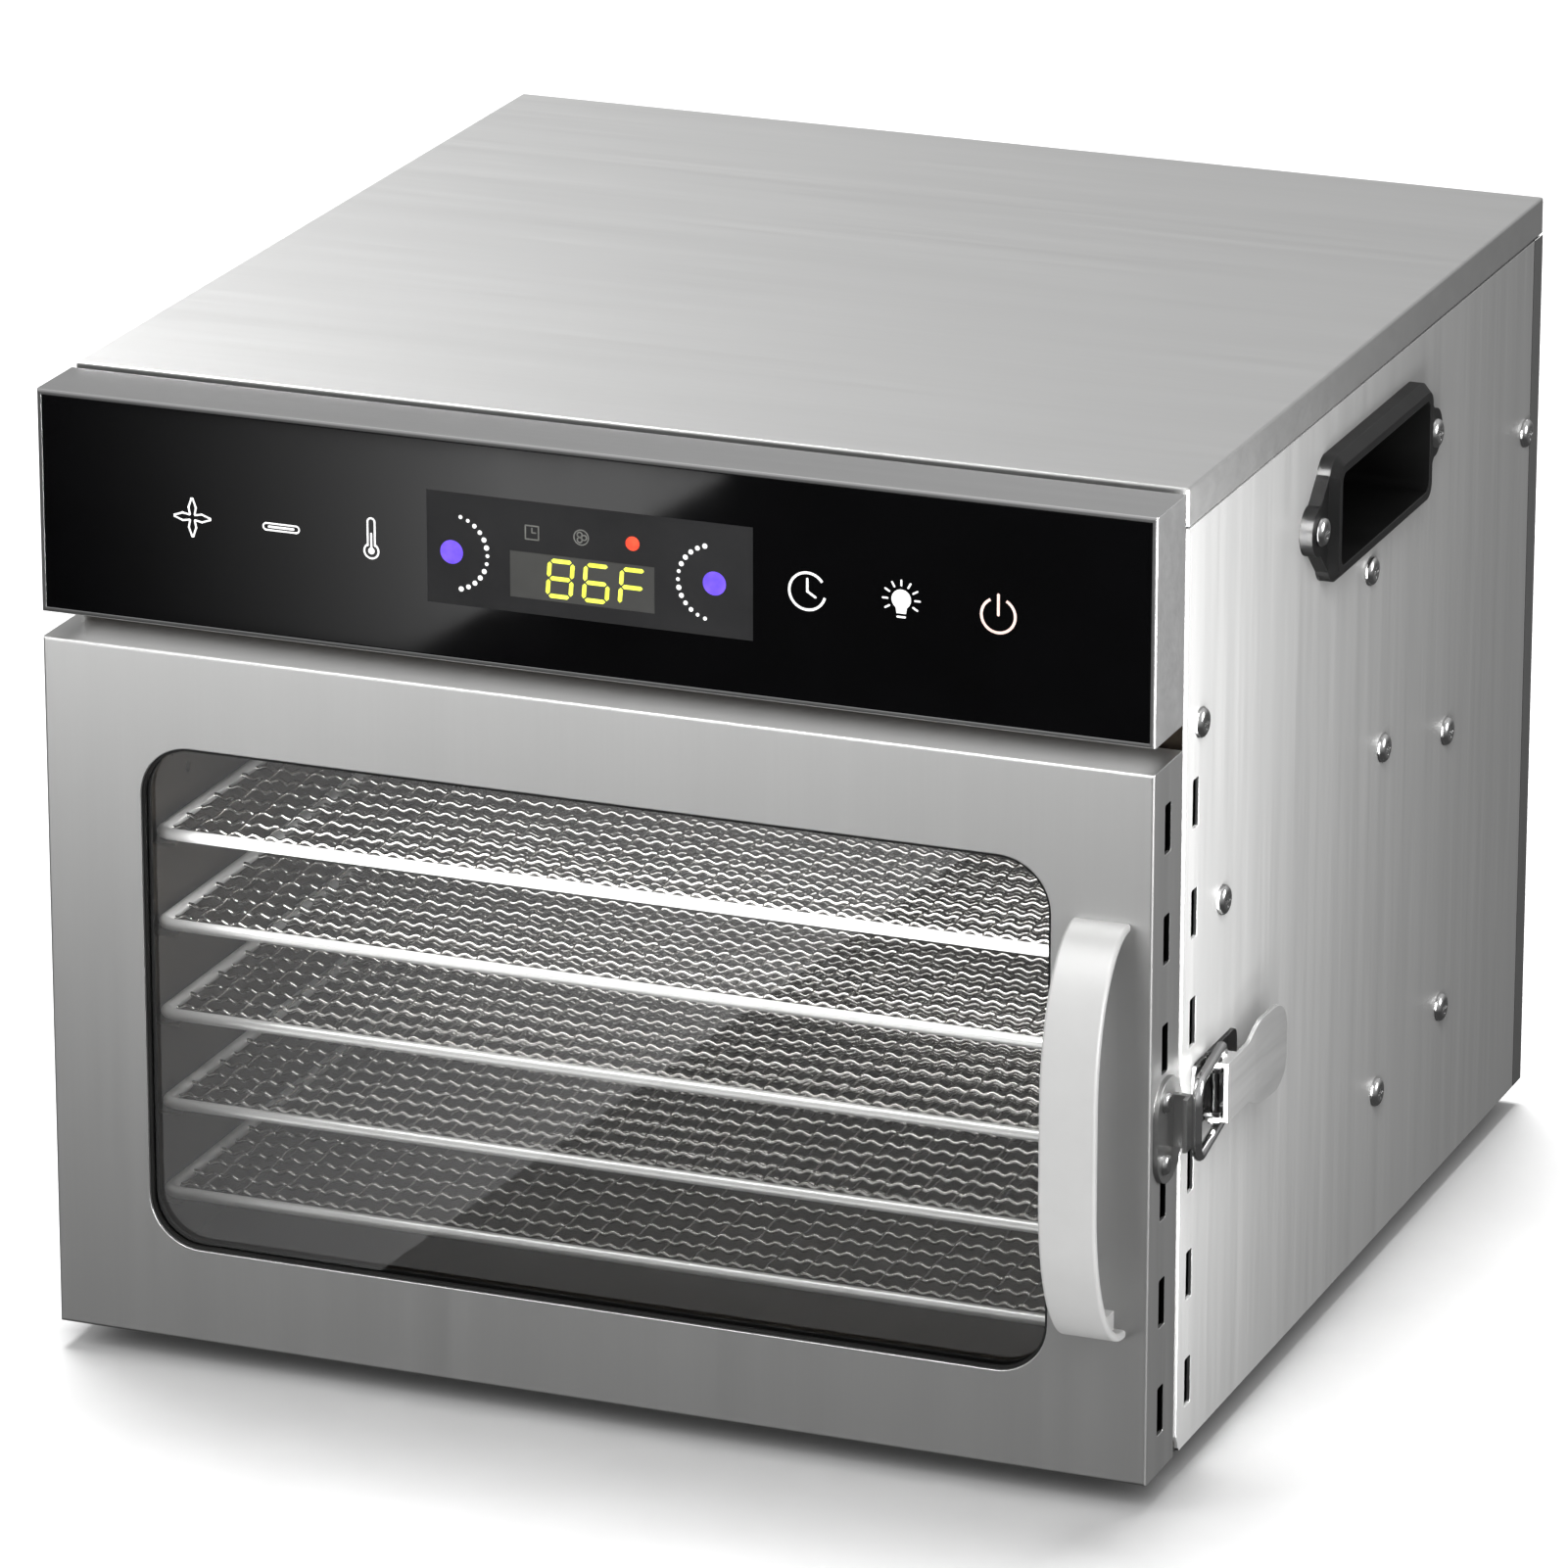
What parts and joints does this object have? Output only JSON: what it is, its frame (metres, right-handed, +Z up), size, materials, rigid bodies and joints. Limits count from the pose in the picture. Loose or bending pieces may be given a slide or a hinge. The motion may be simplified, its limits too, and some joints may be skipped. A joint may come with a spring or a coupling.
{
  "type": "food dehydrator",
  "caption": "Table-top food dehydrator: steel cabinet, hinged window door with side latch, sliding wire trays, glass touch header, rear fan and ring heater.",
  "frame": {"origin": "on the surface the feet stand on, under the middle of the whole appliance's box", "axes": "+Z up, +Y to the back, +X to the right as seen from the front"},
  "size_m": [0.36, 0.383, 0.296],
  "materials": {
    "steel_panels": "satin",
    "chamber_steel": "satin",
    "tray_wire": "bright",
    "handle_satin": "satin",
    "bright_fasteners": "bright",
    "latch_chrome": "bright",
    "hinge_steel": "satin",
    "black_grip": "satin",
    "window_glass": "clear",
    "panel_glass": "gloss",
    "display_plastic": "satin",
    "circuit_board": "satin",
    "rubber": "matt",
    "silicone_seal": "matt",
    "lamp_white": "satin",
    "lamp_glass": "frosted",
    "probe_brass": "bright",
    "fan_aluminium": "satin",
    "motor_case": "satin",
    "heater_sheath": "matt"
  },
  "bodies": {
    "root": {"lid": "steel_panels", "side_panel_right": "steel_panels", "side_panel_left": "steel_panels", "rear_panel": "steel_panels", "base_panel": "steel_panels", "front_frame": "steel_panels", "divider_plate": "chamber_steel", "chamber_floor": "chamber_steel", "tray_rack_right": "chamber_steel", "tray_rack_left": "chamber_steel", "rack_standoffs": "chamber_steel", "fan_baffle": "chamber_steel", "lamp_holder": "lamp_white", "lamp_lens": "lamp_glass", "temperature_probe": "probe_brass", "fan_motor": "motor_case", "motor_bracket": "chamber_steel", "heater_element": "heater_sheath", "heater_clips": "chamber_steel", "thermal_cutout": "motor_case", "header_frame": "steel_panels", "control_glass": "panel_glass", "display_module": "display_plastic", "touch_board": "circuit_board", "power_board": "circuit_board", "power_inlet": "black_grip", "inlet_pins": "probe_brass", "side_screws_right": "bright_fasteners", "side_screws_left": "bright_fasteners", "rear_screws": "bright_fasteners", "rubber_feet": "rubber", "foot_screws": "bright_fasteners", "carry_handle_right": "black_grip", "carry_handle_left": "black_grip", "carry_handle_screws": "bright_fasteners", "hinge_cabinet_leaves": "hinge_steel", "hinge_pins": "hinge_steel", "hinge_cabinet_screws": "bright_fasteners", "latch_base": "latch_chrome", "latch_rivets": "bright_fasteners", "latch_pin": "latch_chrome"},
    "door": {"door_shell": "steel_panels", "door_inner_panel": "chamber_steel", "window_glass": "window_glass", "window_gasket": "rubber", "door_seal": "silicone_seal", "door_handle": "handle_satin", "door_handle_screws": "bright_fasteners", "hinge_door_leaves": "hinge_steel", "hinge_door_screws": "bright_fasteners", "catch_plate": "latch_chrome", "catch_rivets": "bright_fasteners"},
    "latch_lever": {"latch_lever": "latch_chrome"},
    "latch_loop": {"latch_bail": "latch_chrome"},
    "fan": {"fan_rotor": "fan_aluminium"},
    "tray_1": {"tray_1": "tray_wire"},
    "tray_2": {"tray_2": "tray_wire"},
    "tray_3": {"tray_3": "tray_wire"},
    "tray_4": {"tray_4": "tray_wire"},
    "tray_5": {"tray_5": "tray_wire"}
  },
  "joints": [
    {"name": "door_hinge", "type": "hinge", "parent": "root", "child": "door", "pos_m": [-0.1755, -0.13975, 0.1143], "axis": [0, 0, -1], "range_deg": [0, 120]},
    {"name": "latch_lever_pivot", "type": "hinge", "parent": "root", "child": "latch_lever", "pos_m": [0.1744, -0.1215, 0.1135], "axis": [0, 0, -1], "range_deg": [0, 90]},
    {"name": "latch_loop_pivot", "type": "hinge", "parent": "latch_lever", "child": "latch_loop", "pos_m": [0.174, -0.1145, 0.1135], "axis": [0, 0, 1], "range_deg": [0, 113]},
    {"name": "fan_spin", "type": "hinge", "parent": "root", "child": "fan", "pos_m": [0, 0.1395, 0.118], "axis": [0, 1, 0], "continuous": true},
    {"name": "tray_1_slide", "type": "slide", "parent": "root", "child": "tray_1", "axis": [0, -1, 0], "range_m": [0, 0.004]},
    {"name": "tray_2_slide", "type": "slide", "parent": "root", "child": "tray_2", "axis": [0, -1, 0], "range_m": [0, 0.004]},
    {"name": "tray_3_slide", "type": "slide", "parent": "root", "child": "tray_3", "axis": [0, -1, 0], "range_m": [0, 0.004]},
    {"name": "tray_4_slide", "type": "slide", "parent": "root", "child": "tray_4", "axis": [0, -1, 0], "range_m": [0, 0.004]},
    {"name": "tray_5_slide", "type": "slide", "parent": "root", "child": "tray_5", "axis": [0, -1, 0], "range_m": [0, 0.004]}
  ],
  "couplings": [
    {"joint": "latch_loop_pivot", "follows": "latch_lever_pivot", "ratio": 1.25}
  ]
}
